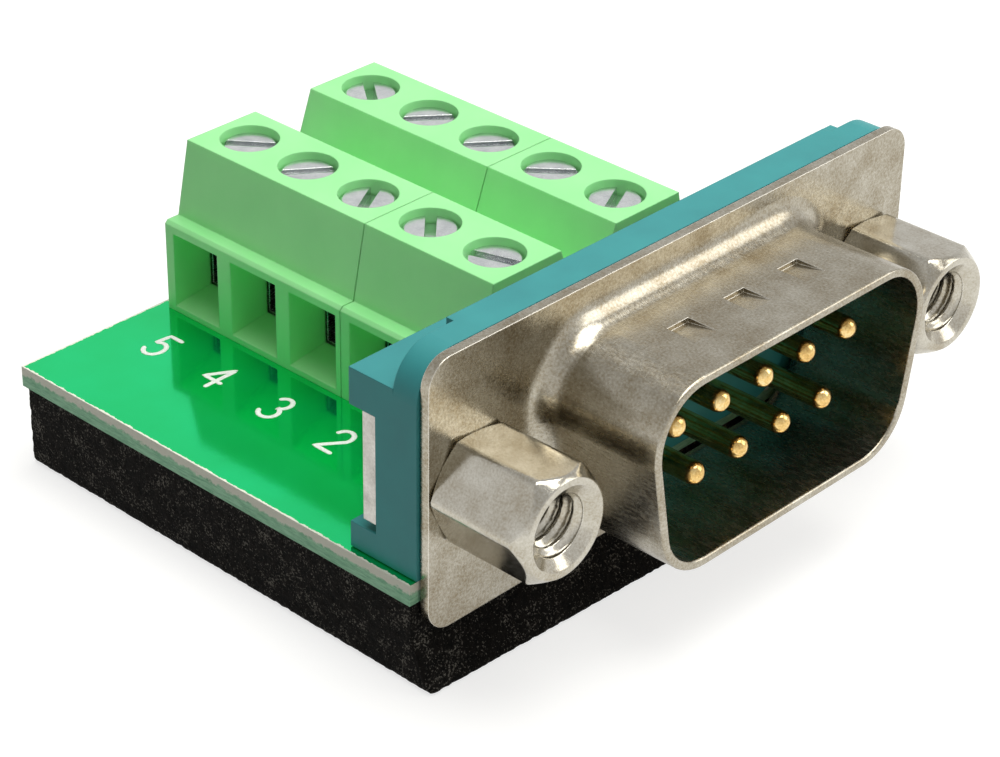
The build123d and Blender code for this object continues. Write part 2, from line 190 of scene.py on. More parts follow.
def makeStudio(look):
    world = bpy.data.worlds.new("studioSky")
    bpy.context.scene.world = world
    world.use_nodes = True
    tree = world.node_tree
    tree.nodes.clear()
    path = addNode(tree, "ShaderNodeLightPath")
    seen = addNode(tree, "ShaderNodeMath", {"operation": "MAXIMUM"},
                   {0: path.outputs["Is Camera Ray"], 1: path.outputs["Is Glossy Ray"]})
    seen = addNode(tree, "ShaderNodeMath", {"operation": "MAXIMUM"},
                   {0: seen.outputs[0], 1: path.outputs["Is Transmission Ray"]})
    ambient = addNode(tree, "ShaderNodeBackground", None,
                      {"Color": linearColour(look["ambientColour"]), "Strength": look["ambient"]})
    way = addNode(tree, "ShaderNodeTexCoord")
    rise = addNode(tree, "ShaderNodeSeparateXYZ", None, {"Vector": way.outputs["Generated"]})
    dimming = addNode(tree, "ShaderNodeMapRange", None,
                      {"Value": rise.outputs["Z"], "From Min": look["mirrorRise"][0],
                       "From Max": look["mirrorRise"][1], "To Min": look["mirrorLow"],
                       "To Max": look["mirrorHigh"]})
    shown = addNode(tree, "ShaderNodeMath", {"operation": "MAXIMUM"},
                    {0: path.outputs["Is Camera Ray"], 1: dimming.outputs[0]})
    white = addNode(tree, "ShaderNodeBackground", None,
                    {"Color": (1, 1, 1, 1), "Strength": shown.outputs[0]})
    mix = addNode(tree, "ShaderNodeMixShader", None,
                  {0: seen.outputs[0], 1: ambient.outputs[0], 2: white.outputs[0]})
    addNode(tree, "ShaderNodeOutputWorld", None, {"Surface": mix.outputs[0]})

    for number, (place, aim, size, watts, colour) in enumerate(look["boxes"], start=1):
        data = bpy.data.lights.new(f"softbox{number}", "AREA")
        data.shape = "SQUARE"
        data.size = size * mm
        data.energy = watts
        data.color = linearColour(colour)[:3]
        lamp = bpy.data.objects.new(f"softbox{number}", data)
        bpy.context.scene.collection.objects.link(lamp)
        lamp.location = Vector(place) * mm
        lamp.rotation_mode = "QUATERNION"
        lamp.rotation_quaternion = (Vector(aim) - Vector(place)).to_track_quat("-Z", "Y")

    material, tree = newMaterial("paleStudioFloor")
    path = addNode(tree, "ShaderNodeLightPath")
    seen = addNode(tree, "ShaderNodeMath", {"operation": "MAXIMUM"},
                   {0: path.outputs["Is Camera Ray"], 1: path.outputs["Is Glossy Ray"]})
    matt = addNode(tree, "ShaderNodeBsdfDiffuse", None,
                   {"Color": linearColour(look["floorAlbedo"])})
    glow = addNode(tree, "ShaderNodeEmission", None,
                   {"Color": (1, 1, 1, 1), "Strength": look["floorGlow"]})
    both = addNode(tree, "ShaderNodeAddShader", None, {0: matt.outputs[0], 1: glow.outputs[0]})
    mix = addNode(tree, "ShaderNodeMixShader", None,
                  {0: seen.outputs[0], 1: matt.outputs[0], 2: both.outputs[0]})
    addNode(tree, "ShaderNodeOutputMaterial", None, {"Surface": mix.outputs[0]})
    half = look["floorSize"] * mm / 2
    corners = np.array([[(-half, -half), (half, -half)], [(-half, half), (half, half)]])
    level = np.full((2, 2, 1), -look["floorGap"] * mm)
    floor = makeObject("floor", [gridMesh(np.concatenate([corners, level], -1), closeU=False)],
                       material, smooth=False)


makeCamera(cameraView)
makeStudio(studio)
print("camera and studio done")


# Moulded thermoplastic, as it comes out of a spark-eroded tool: an even colour with a slight
# mottle, a fine matt grain, and edges that catch a thin line of light
def mouldedPlastic(look):
    material, tree = newMaterial(look["name"])
    coords = addNode(tree, "ShaderNodeTexCoord").outputs["Object"]
    mottle = addNode(tree, "ShaderNodeTexNoise", None,
                     {"Vector": coords, "Scale": perMm(look["mottle"]), "Detail": 3.0})
    colour = addNode(tree, "ShaderNodeValToRGB", None, {"Fac": mottle.outputs["Fac"]},
                     [(0.3, look["dark"]), (0.7, look["light"])])
    rough = addNode(tree, "ShaderNodeMapRange", None,
                    {"Value": mottle.outputs["Fac"], "To Min": look["smoothest"],
                     "To Max": look["roughest"]})
    grain = addNode(tree, "ShaderNodeTexNoise", None,
                    {"Vector": coords, "Scale": perMm(look["grain"]), "Detail": 2.0})
    edge = addNode(tree, "ShaderNodeBevel", {"samples": 6}, {"Radius": look["edge"] * mm})
    bump = addNode(tree, "ShaderNodeBump", None,
                   {"Height": grain.outputs["Fac"], "Strength": look["grainStrength"],
                    "Distance": 0.02 * mm, "Normal": edge.outputs[0]})
    shader = addNode(tree, "ShaderNodeBsdfPrincipled", None,
                     {"Base Color": colour.outputs[0], "Roughness": rough.outputs[0],
                      "IOR": 1.5, "Specular IOR Level": look["sheenLevel"],
                      "Normal": bump.outputs[0],
                      "Subsurface Weight": look["depthShare"], "Subsurface Scale": 0.6 * mm,
                      "Subsurface Radius": look["depthColour"]})
    addNode(tree, "ShaderNodeOutputMaterial", None, {"Surface": shader.outputs[0]})
    return material


# mottle, grain and edge are sizes in mm
tealHousing = {
    "name": "mouldedGlassFilledPolyesterTeal",  # glass-filled PBT: flat, slightly milky blue-green
    "dark": "#358C8F", "light": "#3B9698", "mottle": 2.5,
    "smoothest": 0.40, "roughest": 0.51,
    "grain": 0.09, "grainStrength": 0.12, "edge": 0.06, "sheenLevel": 0.3,
    "depthShare": 0.0, "depthColour": (1, 1, 1),
}
greenBlocks = {
    "name": "mouldedNylonGreen",  # PA66 terminal housing: pale, faintly translucent green
    "dark": "#99EC9D", "light": "#A2F2A5", "mottle": 3.0,
    "smoothest": 0.37, "roughest": 0.48,
    "grain": 0.08, "grainStrength": 0.10, "edge": 0.09, "sheenLevel": 0.45,
    "depthShare": 0.15, "depthColour": (0.5, 1.0, 0.5),
}


# Nickel plating over pressed or turned steel: warm grey metal with a fine salt and pepper grain, a
# faint brown cloud, streaks along the draw, a soft ripple that bends its reflections, and a
# painted highlight along its edges
def nickelPlate(look):
    material, tree = newMaterial(look["name"])
    coords = addNode(tree, "ShaderNodeTexCoord").outputs["Object"]
    cloud = addNode(tree, "ShaderNodeTexNoise", None,
                    {"Vector": coords, "Scale": perMm(look["cloud"]), "Detail": 3.0})
    speckle = addNode(tree, "ShaderNodeTexNoise", None,
                      {"Vector": coords, "Scale": perMm(look["speckle"]), "Detail": 2.0,
                       "Roughness": 0.6})
    streakPlace = addNode(tree, "ShaderNodeMapping", None,
                          {"Vector": coords, "Scale": look["streakStretch"]})
    streak = addNode(tree, "ShaderNodeTexNoise", None,
                     {"Vector": streakPlace.outputs[0], "Scale": perMm(look["streak"]),
                      "Detail": 4.0})
    tone = addNode(tree, "ShaderNodeMix", None,
                   {"Factor": look["speckleShare"], "A": cloud.outputs["Fac"],
                    "B": speckle.outputs["Fac"]})
    plate = addNode(tree, "ShaderNodeValToRGB", None, {"Fac": tone.outputs["Result"]},
                    [(0.34, look["dark"]), (0.5, look["middle"]), (0.66, look["light"])])
    rough = addNode(tree, "ShaderNodeMapRange", None,
                    {"Value": streak.outputs["Fac"], "From Min": 0.3, "From Max": 0.7,
                     "To Min": look["smoothest"], "To Max": look["roughest"]})
    ripple = addNode(tree, "ShaderNodeTexNoise", None,
                     {"Vector": coords, "Scale": perMm(look["ripple"]), "Detail": 2.0})
    heights = addNode(tree, "ShaderNodeMath", {"operation": "MULTIPLY_ADD"},
                      {0: streak.outputs["Fac"], 1: look["streakShare"], 2: ripple.outputs["Fac"]})
    edge = addNode(tree, "ShaderNodeBevel", {"samples": 6}, {"Radius": look["edge"] * mm})
    # painted highlight: along the edges, where the bevelled normal turns away from the face's, the
    # colour is mixed towards a bright one
    facing = addNode(tree, "ShaderNodeNewGeometry")
    agree = addNode(tree, "ShaderNodeVectorMath", {"operation": "DOT_PRODUCT"},
                    {0: edge.outputs[0], 1: facing.outputs["Normal"]})
    edgeTrim = addNode(tree, "ShaderNodeMapRange", None,
                     {"Value": agree.outputs["Value"], "From Min": 0.995, "From Max": 0.93,
                      "To Max": look["edgeHighlightShare"]})
    colour = addNode(tree, "ShaderNodeMix", {"data_type": "RGBA"},
                     {"Factor": edgeTrim.outputs[0], "A": plate.outputs[0],
                      "B": linearColour(look["edgeTrim"])})
    bump = addNode(tree, "ShaderNodeBump", None,
                   {"Height": heights.outputs[0], "Strength": look["rippleStrength"],
                    "Distance": 0.02 * mm, "Normal": edge.outputs[0]})
    shader = addNode(tree, "ShaderNodeBsdfPrincipled", None,
                     {"Base Color": colour.outputs["Result"], "Metallic": 1.0,
                      "Roughness": rough.outputs[0], "Normal": bump.outputs[0]})
    addNode(tree, "ShaderNodeOutputMaterial", None, {"Surface": shader.outputs[0]})
    return material


# cloud, speckle, streak, ripple and edge are sizes in mm; the bright edge colour is a painted
# highlight, mixed in up to its share
shellNickel = {
    "name": "nickelPlatedDrawnSteel",  # warm grey, browned in clouds, streaked along the draw
    "dark": "#8B7F69", "middle": "#A59E8E", "light": "#BBB6A9", "edgeTrim": "#E2DED4",
    "cloud": 1.6, "speckle": 0.11, "speckleShare": 0.55, "edgeHighlightShare": 0.8,
    "streak": 0.12, "streakStretch": (1, 0.25, 1), "ripple": 0.9,
    "streakShare": 0.4, "rippleStrength": 0.42, "smoothest": 0.20, "roughest": 0.32, "edge": 0.06,
}
postNickel = {
    "name": "nickelPlatedTurnedSteel",  # paler and brighter than the shell, with a painted highlight at its corners
    "dark": "#A39A88", "middle": "#B9B4A7", "light": "#CAC6BB", "edgeTrim": "#EBE8DF",
    "cloud": 1.4, "speckle": 0.10, "speckleShare": 0.45, "edgeHighlightShare": 0.9,
    "streak": 0.10, "streakStretch": (1, 0.3, 1), "ripple": 0.7,
    "streakShare": 0.4, "rippleStrength": 0.25, "smoothest": 0.12, "roughest": 0.22, "edge": 0.08,
}
screwZinc = {
    "name": "zincPlatedCutSteel",  # cool white metal, slightly grained by the slotting saw
    "dark": "#C8CCCE", "middle": "#DADDDE", "light": "#E8EAEA", "edgeTrim": "#F2F3F3",
    "cloud": 0.8, "speckle": 0.06, "speckleShare": 0.4, "edgeHighlightShare": 0.8,
    "streak": 0.06, "streakStretch": (1, 1, 1), "ripple": 0.5,
    "streakShare": 0.6, "rippleStrength": 0.30, "smoothest": 0.14, "roughest": 0.26, "edge": 0.05,
}
cageMetal = {
    "name": "nickelPlatedBrassCage",  # neutral grey, only glimpsed in the wire entries
    "dark": "#9A9A98", "middle": "#B6B7B6", "light": "#CACBCB", "edgeTrim": "#E6E6E4",
    "cloud": 0.9, "speckle": 0.08, "speckleShare": 0.4, "edgeHighlightShare": 0.9,
    "streak": 0.08, "streakStretch": (0.3, 1, 1), "ripple": 0.6,
    "streakShare": 0.5, "rippleStrength": 0.25, "smoothest": 0.18, "roughest": 0.32, "edge": 0.05,
}
tinnedMetal = {
    "name": "tinPlatedStampedBrass",  # satin grey, softer than nickel
    "dark": "#A6A29C", "middle": "#BAB7B1", "light": "#CCC9C4", "edgeTrim": "#DAD8D4",
    "cloud": 1.0, "speckle": 0.10, "speckleShare": 0.4, "edgeHighlightShare": 0.5,
    "streak": 0.10, "streakStretch": (1, 1, 0.4), "ripple": 0.5,
    "streakShare": 0.5, "rippleStrength": 0.25, "smoothest": 0.34, "roughest": 0.50, "edge": 0.05,
}
goldPins = {
    "name": "goldFlashedBrassPin",  # thin hard gold over turned brass
    "dark": "#C79E5E", "middle": "#E6C27C", "light": "#F3DBA4", "edgeTrim": "#FBEBC4",
    "cloud": 0.6, "speckle": 0.09, "speckleShare": 0.5, "edgeHighlightShare": 0.5,
    "streak": 0.07, "streakStretch": (1, 0.3, 1), "ripple": 0.5,
    "streakShare": 0.3, "rippleStrength": 0.15, "smoothest": 0.10, "roughest": 0.20, "edge": 0.05,
}


# Fibreglass board: glossy green solder resist over copper above and below, so that what it mirrors
# is green too; sawn laminate at the edges, with a painted highlight along the top rim: a pale band
# at the top of the sawn edges and a thin pale line on the top face beside them
circuitBoard = {
    "name": "solderResistOnFibreglass",
    "resistDark": "#04DC7C", "resistLight": "#07E68A", "copperShare": 0.82, "gloss": 0.09,
    "edgeDark": "#7DBB95", "edgeLight": "#AEE2C0", "rim": "#ECEEE0",
    "rimDepth": 0.42, "rimBlend": (0.26, 0.36), "wobble": 0.6,   # mm, painted highlight as a pale band at the top of the sawn edges
    "rimLine": 0.06, "ragged": 0.3,                    # mm, the painted highlight's thin line on the flat faces, pale on the top face
    "cloud": 4.0, "ripple": 1.6, "fibre": 0.10, "rimNoise": 0.35,   # mm
}


def boardFinish(look):
    material, tree = newMaterial(look["name"])
    coords = addNode(tree, "ShaderNodeTexCoord").outputs["Object"]
    cloud = addNode(tree, "ShaderNodeTexNoise", None,
                    {"Vector": coords, "Scale": perMm(look["cloud"]), "Detail": 3.0})
    resist = addNode(tree, "ShaderNodeValToRGB", None, {"Fac": cloud.outputs["Fac"]},
                     [(0.3, look["resistDark"]), (0.7, look["resistLight"])])
    ripple = addNode(tree, "ShaderNodeTexNoise", None,
                     {"Vector": coords, "Scale": perMm(look["ripple"]), "Detail": 2.0})
    film = addNode(tree, "ShaderNodeBump", None,
                   {"Height": ripple.outputs["Fac"], "Strength": 0.06, "Distance": 0.05 * mm})
    gloss = addNode(tree, "ShaderNodeBsdfPrincipled", None,
                    {"Base Color": resist.outputs[0], "Metallic": look["copperShare"],
                     "Roughness": look["gloss"], "IOR": 1.58, "Normal": film.outputs[0]})
    fibrePlace = addNode(tree, "ShaderNodeMapping", None,
                         {"Vector": coords, "Scale": (0.15, 0.15, 1)})
    fibre = addNode(tree, "ShaderNodeTexNoise", None,
                    {"Vector": fibrePlace.outputs[0], "Scale": perMm(look["fibre"]), "Detail": 5.0,
                     "Roughness": 0.7})
    edgeColour = addNode(tree, "ShaderNodeValToRGB", None, {"Fac": fibre.outputs["Fac"]},
                         [(0.35, look["edgeDark"]), (0.62, look["edgeLight"])])
    height = addNode(tree, "ShaderNodeSeparateXYZ", None, {"Vector": coords})
    # painted highlight: the top band of the sawn edges is mixed towards the pale rim colour, its
    # lower border wavering with noise
    rimNoise = addNode(tree, "ShaderNodeTexNoise", None,
                    {"Vector": coords, "Scale": perMm(look["rimNoise"]), "Detail": 4.0,
                     "Roughness": 0.65})
    wobble = addNode(tree, "ShaderNodeMath", {"operation": "MULTIPLY_ADD"},
                     {0: rimNoise.outputs["Fac"], 1: look["wobble"] * mm, 2: height.outputs["Z"]})
    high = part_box("circuit_board")[1]
    rimShare = addNode(tree, "ShaderNodeMapRange", None,
                       {"Value": wobble.outputs[0],
                        "From Min": high.z + (look["rimBlend"][0] - look["rimDepth"]) * mm,
                        "From Max": high.z + (look["rimBlend"][1] - look["rimDepth"]) * mm})
    edge = addNode(tree, "ShaderNodeMix", {"data_type": "RGBA"},
                   {"Factor": rimShare.outputs[0], "A": edgeColour.outputs[0],
                    "B": linearColour(look["rim"])})
    roughEdge = addNode(tree, "ShaderNodeBump", None,
                        {"Height": fibre.outputs["Fac"], "Strength": 0.7, "Distance": 0.08 * mm})
    sawn = addNode(tree, "ShaderNodeBsdfPrincipled", None,
                   {"Base Color": edge.outputs["Result"], "Roughness": 0.7, "IOR": 1.5,
                    "Normal": roughEdge.outputs[0]})
    facing = addNode(tree, "ShaderNodeNewGeometry")
    normal = addNode(tree, "ShaderNodeSeparateXYZ", None, {"Vector": facing.outputs["Normal"]})
    flat = addNode(tree, "ShaderNodeMath", {"operation": "ABSOLUTE"}, {0: normal.outputs["Z"]})
    # painted highlight: a thin line on the flat faces along the side and rear edges takes the sawn
    # finish, pale on the top face
    isFlat = addNode(tree, "ShaderNodeMath", {"operation": "GREATER_THAN"},
                     {0: flat.outputs[0], 1: 0.5})
    sideways = addNode(tree, "ShaderNodeMath", {"operation": "ABSOLUTE"}, {0: height.outputs["X"]})
    toSide = addNode(tree, "ShaderNodeMath", {"operation": "SUBTRACT"},
                     {0: high.x, 1: sideways.outputs[0]})
    toRear = addNode(tree, "ShaderNodeMath", {"operation": "SUBTRACT"},
                     {0: high.y, 1: height.outputs["Y"]})
    toEdge = addNode(tree, "ShaderNodeMath", {"operation": "MINIMUM"},
                     {0: toSide.outputs[0], 1: toRear.outputs[0]})
    ragged = addNode(tree, "ShaderNodeMath", {"operation": "MULTIPLY_ADD"},
                     {0: rimNoise.outputs["Fac"], 1: -look["ragged"] * mm, 2: toEdge.outputs[0]})
    inside = addNode(tree, "ShaderNodeMath", {"operation": "GREATER_THAN"},
                     {0: ragged.outputs[0], 1: -look["rimLine"] * mm})
    lacquered = addNode(tree, "ShaderNodeMath", {"operation": "MULTIPLY"},
                        {0: isFlat.outputs[0], 1: inside.outputs[0]})
    mix = addNode(tree, "ShaderNodeMixShader", None,
                  {0: lacquered.outputs[0], 1: sawn.outputs[0], 2: gloss.outputs[0]})
    addNode(tree, "ShaderNodeOutputMaterial", None, {"Surface": mix.outputs[0]})
    return material


nickelShell = nickelPlate(shellNickel)
nickelPost = nickelPlate(postNickel)
zincScrew = nickelPlate(screwZinc)
cageFinish = nickelPlate(cageMetal)
tinFinish = nickelPlate(tinnedMetal)
goldFinish = nickelPlate(goldPins)
tealPlastic = mouldedPlastic(tealHousing)
greenPlastic = mouldedPlastic(greenBlocks)

ways = range(1, 11)
sides = ("left", "right")
dress(["dsub_shell"], nickelShell)
dress([f"jack_post_{side}" for side in sides], nickelPost)
dress([f"terminal_screw_{i}" for i in ways], zincScrew)
dress([f"clamp_cage_{i}" for i in ways], cageFinish)
dress([f"solder_bar_{i}" for i in ways], tinFinish)
dress([f"ground_bracket_{side}" for side in sides], tinFinish)
dress([f"contact_pin_{i}" for i in range(1, 10)], goldFinish)
dress(["dsub_housing"], tealPlastic)
dress([f"{place}_terminal_block_{side}" for place in ("front", "rear") for side in sides],
      greenPlastic)
dress(["circuit_board"], boardFinish(circuitBoard))
print("frame materials done")


# Open-cell sponge rubber: matt black, torn open at each pore, each pit darkened as painted shade,
# and scattered with pale specks
spongePad = {
    "name": "openCellSpongeRubber",
    "step": 0.12,                        # mm between points of the mesh
    "pore": 0.30, "depth": 0.06,         # mm, width and depth of a pore
    "poreReach": 0.62,                   # share of a pore's width where its pit ends
    "swell": 0.16,                       # mm that it bulges past the glued area
    "toeLeft": 0.45, "toeRight": 0.70,   # mm that its foot is pressed forward
    "toeTop": 2.23,                      # mm, height where the front stops leaning back
    "corners": (0.3, 4.4, 0.4, 0.3),     # mm, rounding in plan, from front left to rear left
    "foot": 0.35,                        # mm, rounding at the bottom edge
    "speck": 0.11, "cluster": 0.9,       # mm, width of a pale speck, and of a patch of them
    "paleSpeckRamp": (0.745, 0.83),              # noise where the specks start and end turning pale
    "fine": 0.12,                        # mm, relief too small for the mesh
    "black": "#080807", "grey": "#161412", "paleSpeck": "#74716B",
}


def spongeFinish(look):
    material, tree = newMaterial(look["name"])
    coords = addNode(tree, "ShaderNodeTexCoord").outputs["Object"]
    pore = addNode(tree, "ShaderNodeAttribute", {"attribute_name": "pore"})
    speckNoise = addNode(tree, "ShaderNodeTexNoise", None,
                   {"Vector": coords, "Scale": perMm(look["speck"]), "Detail": 3.0,
                    "Roughness": 0.75})
    cluster = addNode(tree, "ShaderNodeTexNoise", None,
                      {"Vector": coords, "Scale": perMm(look["cluster"]), "Detail": 2.0})
    both = addNode(tree, "ShaderNodeMath", {"operation": "MULTIPLY_ADD"},
                   {0: cluster.outputs["Fac"], 1: 0.35, 2: speckNoise.outputs["Fac"]})
    paleSpeckRamp = addNode(tree, "ShaderNodeMapRange", None,
                    {"Value": both.outputs[0], "From Min": look["paleSpeckRamp"][0],
                     "From Max": look["paleSpeckRamp"][1]})
    # painted shade: each pore's pit is darker, from grey outside it to black at its deepest
    paintedPitShade = addNode(tree, "ShaderNodeValToRGB", None, {"Fac": pore.outputs["Fac"]},
                   [(0.0, look["grey"]), (0.6, look["black"])])
    colour = addNode(tree, "ShaderNodeMix", {"data_type": "RGBA"},
                     {"Factor": paleSpeckRamp.outputs[0], "A": paintedPitShade.outputs[0],
                      "B": linearColour(look["paleSpeck"])})
    fine = addNode(tree, "ShaderNodeTexNoise", None,
                   {"Vector": coords, "Scale": perMm(look["fine"]), "Detail": 3.0})
    bump = addNode(tree, "ShaderNodeBump", None,
                   {"Height": fine.outputs["Fac"], "Strength": 0.9, "Distance": 0.08 * mm})
    shader = addNode(tree, "ShaderNodeBsdfPrincipled", None,
                     {"Base Color": colour.outputs["Result"], "Roughness": 0.9, "IOR": 1.45,
                      "Specular IOR Level": 0.12, "Normal": bump.outputs[0]})
    addNode(tree, "ShaderNodeOutputMaterial", None, {"Surface": shader.outputs[0]})
    return material


# Distance to the nearest pore's middle on a jittered lattice, in cells, and that pore's depth: of
# the nine neighbouring cells' points, the nearest one is kept
def poreField(along, height, size, wrap, seed):
    picks = np.random.default_rng(seed)
    cols = int(round(wrap / size))
    width = wrap / cols
    rowCount = int(height.max() / size) + 4
    jitter = picks.random((rowCount, cols, 3))
    i = np.floor(along / width).astype(int)
    j = np.floor(height / size).astype(int) + 1
    best = np.full(along.shape, 9.0)
    depth = np.zeros(along.shape)
    for di in (-1, 0, 1):
        for dj in (-1, 0, 1):
            cell = jitter[(j + dj) % rowCount, (i + di) % cols]
            px = (i + di + cell[..., 0]) * width
            pz = (j + dj - 1 + cell[..., 1]) * size
            gap = np.hypot(along - px, height - pz) / size
            nearer = gap < best
            best = np.where(nearer, gap, best)
            depth = np.where(nearer, cell[..., 2], depth)
    return best, depth


# Rounded outline in plan as a function of arc length, with its outward normals: straight runs
# joined at each corner by a quadratic curve that starts and ends its rounding away from it
def padOutline(halfWidth, frontLeft, frontRight, rear, rounding, step):
    corners = np.array([(-halfWidth, frontLeft), (halfWidth, frontRight), (halfWidth, rear),
                        (-halfWidth, rear)])
    points = []
    for k in range(4):
        before, here, after = corners[k - 1], corners[k], corners[(k + 1) % 4]
        into = (here - before) / np.linalg.norm(here - before)
        out = (after - here) / np.linalg.norm(after - here)
        t = np.linspace(0, 1, 17)[:, None]
        start, end = here - into * rounding[k], here + out * rounding[k]
        points.append((1 - t) ** 2 * start + 2 * t * (1 - t) * here + t ** 2 * end)
    loop = np.vstack(points)
    closed = np.vstack([loop, loop[:1]])
    lengths = np.r_[0, np.cumsum(np.linalg.norm(np.diff(closed, axis=0), axis=1))]
    count = int(lengths[-1] / step)
    s = np.arange(count) / count * lengths[-1]
    outline = np.stack([np.interp(s, lengths, closed[:, k]) for k in (0, 1)], -1)
    tangent = np.roll(outline, -1, 0) - np.roll(outline, 1, 0)
    tangent /= np.linalg.norm(tangent, axis=1, keepdims=True)
    normal = np.stack([tangent[:, 1], -tangent[:, 0]], -1)
    return outline, normal, s, lengths[-1]


# The pad's side wall is a grid of points, height by arc length. Each point lies on the outline,
# less a quarter circle at the foot and less its nearest pore's pit: (1 - gap / reach) ** 0.7
def makeSponge(look):
    low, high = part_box("foam_pad")
    low, high = low / mm, high / mm
    block = np.array([v.co for v in nodes["foam_pad"].data.vertices]) / mm
    onFloor = block[np.abs(block[:, 2]) < 0.01]
    frontLeft = onFloor[onFloor[:, 0] < low.x + 0.1][:, 1].min()
    frontRight = onFloor[onFloor[:, 0] > high.x - 0.1][:, 1].min()
    upper = block[block[:, 2] > high.z - 0.01][:, 1].min()
    swell = look["swell"]
    step = look["step"]
    outline, normal, s, around = padOutline(high.x + swell, frontLeft - look["toeLeft"],
                                            frontRight - look["toeRight"],
                                            high.y + swell, look["corners"], step)
    topFront = upper - swell
    # the front leans back: each outline point in front of the top's front line slides towards it
    rows = int((high.z - low.z) / step)
    z = np.linspace(0, high.z - 0.01, rows)
    lean = np.clip(z / look["toeTop"], 0, 1)[:, None]
    x = np.repeat(outline[None, :, 0], rows, 0)
    y = np.repeat(outline[None, :, 1], rows, 0)
    y = np.where(y < topFront, y + (topFront - y) * lean, y)
    foot = look["foot"]
    drop = np.clip(1 - z / foot, 0, 1)[:, None]
    roundIn = foot * (1 - np.sqrt(np.clip(1 - drop ** 2, 0, 1)))
    gap, deep = poreField(np.repeat(s[None], rows, 0), np.repeat(z[:, None], len(s), 1),
                          look["pore"], around, 3)
    pit = np.clip(1 - gap / look["poreReach"], 0, 1) ** 0.7 * (0.35 + 0.65 * deep)
    push = roundIn + look["depth"] * pit
    side = np.stack([x - normal[None, :, 0] * push, y - normal[None, :, 1] * push,
                     np.repeat(z[:, None], len(s), 1)], -1)
    middle = np.array([0, (upper + high.y) / 2])
    under, top = [], []
    for rings, edge, shares in ((under, side[0], (0.3, 0.8, 0.97)),
                                (top, side[-1], (0.98, 0.8, 0.3))):
        for share in shares:
            ring = edge.copy()
            ring[:, :2] = middle + (ring[:, :2] - middle) * share
            rings.append(ring)
    points = np.concatenate([np.array(under), side, np.array(top)]) * mm
    pad = makeObject("sponge_pad", [gridMesh(points, poles=(True, True))], spongeFinish(look))
    # painted shade: the pits' depth is stored on the points to darken their colour
    shade = np.zeros(points.shape[:2])
    shade[len(under):len(under) + rows] = pit
    pore = pad.data.attributes.new("pore", "FLOAT", "POINT")
    pore.data.foreach_set("value", shade.ravel().astype(np.float32))
    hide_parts("foam_pad")
    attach(pad, "adapter")


makeSponge(spongePad)
print("sponge pad done")


# Screen-printed epoxy ink: bright white with soft edges and a slight film thickness
printedNumbers = {
    "name": "screenPrintedWhiteInk",
    "white": "#F4F6F2", "grey": "#DDE4DD", "speckle": 0.08,   # mm
    "height": 1.80, "width": 1.02, "stroke": 0.25, "film": 0.03, "step": 0.12,   # mm
    "middleX": 10.02, "shift": -0.55,   # mm, from the middle and from each way's centre
    "firstWay": -2.195, "pitch": 3.81,   # mm
}


def inkFinish(look):
    material, tree = newMaterial(look["name"])
    coords = addNode(tree, "ShaderNodeTexCoord").outputs["Object"]
    speckle = addNode(tree, "ShaderNodeTexNoise", None,
                      {"Vector": coords, "Scale": perMm(look["speckle"]), "Detail": 2.0})
    colour = addNode(tree, "ShaderNodeValToRGB", None, {"Fac": speckle.outputs["Fac"]},
                     [(0.3, look["grey"]), (0.5, look["white"])])
    bump = addNode(tree, "ShaderNodeBump", None,
                   {"Height": speckle.outputs["Fac"], "Strength": 0.3, "Distance": 0.01 * mm})
    shader = addNode(tree, "ShaderNodeBsdfPrincipled", None,
                     {"Base Color": colour.outputs[0], "Roughness": 0.5,
                      "Normal": bump.outputs[0]})
    addNode(tree, "ShaderNodeOutputMaterial", None, {"Surface": shader.outputs[0]})
    return material


# Points on an ellipse's arc, in a cell one unit wide and high
def arc(middle, radii, start, end, count=12):
    angle = np.radians(np.linspace(start, end, count))
    return np.stack([middle[0] + radii[0] * np.cos(angle),
                     middle[1] + radii[1] * np.sin(angle)], -1)


# Strokes of each figure, drawn as a sign writer would
def figureStrokes():
    return {
        "1": [np.array([(0.2, 0.78), (0.55, 1.0), (0.55, 0.0)])],
        "2": [np.vstack([arc((0.48, 0.72), (0.42, 0.28), 165, -25), [(0.05, 0.0), (0.95, 0.0)]])],
        "3": [np.vstack([arc((0.46, 0.75), (0.38, 0.25), 150, -80),
                         arc((0.46, 0.27), (0.46, 0.27), 80, -155)])],
        "4": [np.array([(0.72, 0.0), (0.72, 1.0), (0.0, 0.32), (1.0, 0.32)])],
        "5": [np.vstack([[(0.88, 1.0), (0.18, 1.0), (0.10, 0.56)],
                         arc((0.46, 0.32), (0.46, 0.32), 130, -150)])],
        "6": [np.vstack([arc((0.72, 0.45), (0.66, 0.55), 75, 175),
                         arc((0.5, 0.3), (0.44, 0.3), 180, 540)])],
        "7": [np.array([(0.05, 1.0), (0.95, 1.0), (0.38, 0.0)])],
        "8": [arc((0.5, 0.75), (0.36, 0.25), 90, 450), arc((0.5, 0.26), (0.45, 0.26), 90, 450)],
        "9": [np.vstack([arc((0.28, 0.55), (0.66, 0.55), -105, -5),
                         arc((0.5, 0.7), (0.44, 0.3), 0, 360)])],
    }


